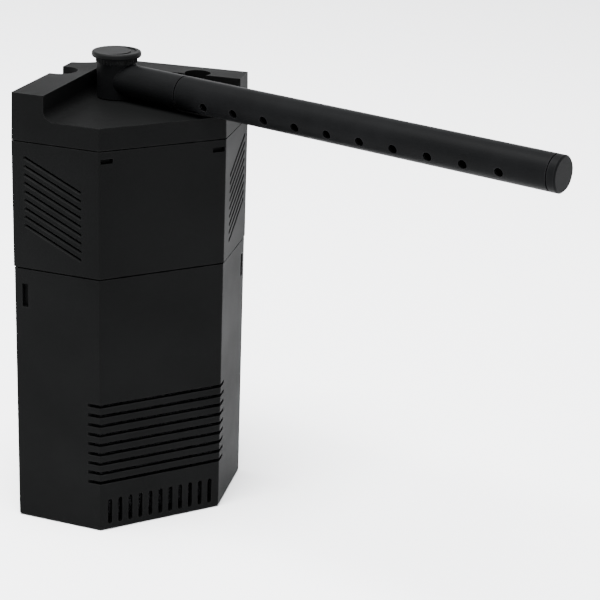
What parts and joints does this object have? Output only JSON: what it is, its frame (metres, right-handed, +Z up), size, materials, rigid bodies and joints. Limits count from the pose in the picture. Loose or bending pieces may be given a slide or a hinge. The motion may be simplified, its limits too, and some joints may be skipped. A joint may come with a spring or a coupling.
{
  "type": "aquarium filter",
  "caption": "Five-sided internal corner filter with a slotted canister, a pump head, a winged lid and a swivelling spray bar with a flow knob.",
  "frame": {"origin": "on the base plane, under the axis of the swivelling outlet", "axes": "+Z up, -Y the way the front face looks, +Y into the tank corner, +X to the right seen from the front"},
  "size_m": [0.1792, 0.2695, 0.238],
  "materials": {
    "shell": "fine matt moulded black",
    "knob": "matt moulded black",
    "foam_black": "open-cell foam, dark",
    "foam_blue": "open-cell foam, blue",
    "ceramic_ring": "unglazed ceramic",
    "basket": "moulded black",
    "rubber": "soft rubber",
    "pump_plastic": "moulded dark grey",
    "impeller": "moulded off-white",
    "magnet": "sintered ferrite",
    "ceramic_shaft": "polished ceramic",
    "steel": "bright screw steel",
    "core": "stacked laminations",
    "copper": "enamelled copper wire",
    "bobbin": "moulded natural nylon",
    "resin": "cast resin"
  },
  "bodies": {
    "canister": {"canister": "shell", "coarse_sponge": "foam_black", "media_basket": "basket", "media_rings": "ceramic_ring", "divider_grid": "basket", "fine_sponge": "foam_blue"},
    "head": {"head_casing": "shell", "pump_feet": "rubber", "volute": "pump_plastic", "volute_cover": "pump_plastic", "cover_seal": "rubber", "motor_housing": "pump_plastic", "volute_screws": "steel", "stator_core": "core", "coil_bobbin": "bobbin", "coil_winding": "copper", "potting_resin": "resin", "cable_gland": "rubber", "rotor_shaft": "ceramic_shaft", "bush_lower": "rubber", "bush_upper": "rubber", "riser_pipe": "pump_plastic", "riser_seal": "rubber"},
    "rotor": {"rotor_magnet": "magnet", "impeller": "impeller"},
    "lid": {"lid": "shell"},
    "outlet": {"outlet_elbow": "shell", "swivel_clip": "pump_plastic", "swivel_seal": "rubber", "bar_seal": "rubber"},
    "knob": {"valve_barrel": "pump_plastic", "knob_seal": "rubber", "flow_knob": "knob"},
    "bar": {"spray_bar": "shell", "bar_cap": "shell"}
  },
  "joints": [
    {"name": "head_lift", "type": "slide", "parent": "canister", "child": "head", "axis": [0, 0, 1], "range_m": [0, 0.09]},
    {"name": "lid_lift", "type": "slide", "parent": "head", "child": "lid", "axis": [0, 0, 1], "range_m": [0, 0.05]},
    {"name": "rotor_spin", "type": "hinge", "parent": "head", "child": "rotor", "pos_m": [-0.005, -0.02997, 0.17], "axis": [0, 0, 1], "continuous": true},
    {"name": "arm_swing", "type": "hinge", "parent": "lid", "child": "outlet", "pos_m": [0, 0, 0.2235], "axis": [0, 0, 1], "range_deg": [-69.5, 20.5]},
    {"name": "knob_turn", "type": "hinge", "parent": "outlet", "child": "knob", "pos_m": [0, 0, 0.2235], "axis": [0, 0, 1], "range_deg": [0, 90]},
    {"name": "bar_roll", "type": "hinge", "parent": "outlet", "child": "bar", "pos_m": [0, 0, 0.2235], "axis": [0.4147, -0.91, 0], "continuous": true}
  ]
}
